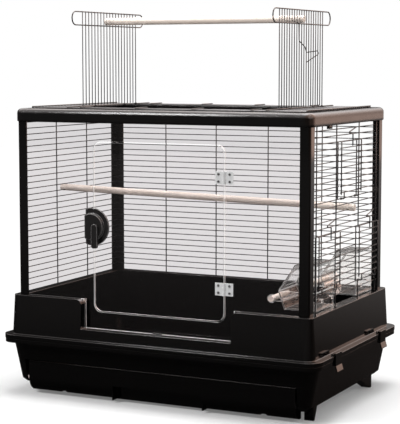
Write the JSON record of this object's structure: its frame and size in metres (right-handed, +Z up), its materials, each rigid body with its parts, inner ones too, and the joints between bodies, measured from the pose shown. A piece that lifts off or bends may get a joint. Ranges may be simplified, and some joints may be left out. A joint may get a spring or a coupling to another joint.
{
  "type": "bird cage",
  "caption": "Rectangular bird cage with wire sides, clear hinged front door, drop-down feeder doors, hooded feeders, perches, folding roof flaps and a pull-out base drawer",
  "frame": {"origin": "Centre of the bounding box's footprint, on the floor under the four feet", "axes": "+Z up, +Y towards the back wire panel (the clear door faces -Y), +X towards the side with the feeder doors"},
  "size_m": [0.814, 0.536, 0.8965],
  "materials": {
    "black_plastic": "black moulded plastic, glossy",
    "wire": "black coated steel wire",
    "clear_plastic": "clear acrylic sheet",
    "feeder_plastic": "clear moulded plastic, lightly smoked",
    "hinge_plastic": "clear to milky moulded plastic",
    "wood": "pale turned wood, sanded",
    "screw_steel": "dark steel screws and pins"
  },
  "bodies": {
    "cage": {"base_housing": "black_plastic", "skirt": "black_plastic", "post_front_left": "black_plastic", "post_front_right": "black_plastic", "post_back_left": "black_plastic", "post_back_right": "black_plastic", "roof_frame": "black_plastic", "back_wires": "wire", "back_uprights": "wire", "left_wires": "wire", "left_uprights": "wire", "right_wires": "wire", "right_uprights": "wire", "roof_cross_wires": "wire", "roof_long_wires": "wire", "front_panel": "clear_plastic", "hinge_lower_panel_leaf": "hinge_plastic", "hinge_lower_panel_screws": "screw_steel", "hinge_lower_pin": "screw_steel", "hinge_upper_panel_leaf": "hinge_plastic", "hinge_upper_panel_screws": "screw_steel", "hinge_upper_pin": "screw_steel", "feeder_cup_front": "feeder_plastic", "feeder_hood_front": "feeder_plastic", "feeder_stick_front": "wood", "feeder_cup_rear": "feeder_plastic", "feeder_hood_rear": "feeder_plastic", "feeder_stick_rear": "wood", "inner_perch": "wood"},
    "front_door": {"front_door": "clear_plastic", "hinge_lower_door_leaf": "hinge_plastic", "hinge_upper_door_leaf": "hinge_plastic", "hinge_lower_door_screws": "screw_steel", "hinge_upper_door_screws": "screw_steel", "latch_housing": "black_plastic"},
    "latch": {"latch_lever": "black_plastic", "latch_cam": "black_plastic"},
    "drawer": {"drawer": "black_plastic"},
    "flap_left": {"flap_left_wires": "wire", "flap_left_hoop": "wire"},
    "flap_right": {"flap_right_wires": "wire", "flap_right_hoop": "wire", "flap_latch": "wire", "top_perch": "wood"},
    "feeder_door_upper": {"feeder_door_upper_wires": "wire", "feeder_door_upper_frame": "wire", "feeder_door_upper_handle": "wire"},
    "feeder_door_front": {"feeder_door_front_wires": "wire", "feeder_door_front_frame": "wire", "feeder_door_front_handle": "wire"},
    "feeder_door_rear": {"feeder_door_rear_wires": "wire", "feeder_door_rear_frame": "wire", "feeder_door_rear_handle": "wire"},
    "clip_left_front": {"clip_left_front": "black_plastic"},
    "clip_left_back": {"clip_left_back": "black_plastic"},
    "clip_right_front": {"clip_right_front": "black_plastic"},
    "clip_right_back": {"clip_right_back": "black_plastic"}
  },
  "joints": [
    {"name": "drawer_slide", "type": "slide", "parent": "cage", "child": "drawer", "axis": [0, -1, 0], "range_m": [0, 0.4]},
    {"name": "front_door_hinge", "type": "hinge", "parent": "cage", "child": "front_door", "pos_m": [0.1645, -0.2304, 0.403], "axis": [0, 0, 1], "range_deg": [0, 130]},
    {"name": "latch_turn", "type": "hinge", "parent": "front_door", "child": "latch", "pos_m": [-0.155, -0.2304, 0.404], "axis": [0, 1, 0], "range_deg": [0, 90]},
    {"name": "flap_left_hinge", "type": "hinge", "parent": "cage", "child": "flap_left", "pos_m": [-0.25, 0, 0.6746], "axis": [0, -1, 0], "range_deg": [0, 85]},
    {"name": "flap_right_hinge", "type": "hinge", "parent": "cage", "child": "flap_right", "pos_m": [0.25, 0, 0.6746], "axis": [0, 1, 0], "range_deg": [0, 85]},
    {"name": "feeder_door_upper_hinge", "type": "hinge", "parent": "cage", "child": "feeder_door_upper", "pos_m": [0.3618, 0.01, 0.47385], "axis": [0, 1, 0], "range_deg": [0, 110]},
    {"name": "feeder_door_front_hinge", "type": "hinge", "parent": "cage", "child": "feeder_door_front", "pos_m": [0.3618, -0.121, 0.27435], "axis": [0, 1, 0], "range_deg": [0, 95]},
    {"name": "feeder_door_rear_hinge", "type": "hinge", "parent": "cage", "child": "feeder_door_rear", "pos_m": [0.3618, 0.13, 0.27435], "axis": [0, 1, 0], "range_deg": [0, 95]},
    {"name": "clip_left_front_hinge", "type": "hinge", "parent": "cage", "child": "clip_left_front", "pos_m": [-0.395, -0.146, 0.1462], "axis": [0, 1, 0], "range_deg": [0, 75]},
    {"name": "clip_left_back_hinge", "type": "hinge", "parent": "cage", "child": "clip_left_back", "pos_m": [-0.395, 0.146, 0.1462], "axis": [0, 1, 0], "range_deg": [0, 75]},
    {"name": "clip_right_front_hinge", "type": "hinge", "parent": "cage", "child": "clip_right_front", "pos_m": [0.395, -0.146, 0.1462], "axis": [0, -1, 0], "range_deg": [0, 75]},
    {"name": "clip_right_back_hinge", "type": "hinge", "parent": "cage", "child": "clip_right_back", "pos_m": [0.395, 0.146, 0.1462], "axis": [0, -1, 0], "range_deg": [0, 75]}
  ]
}
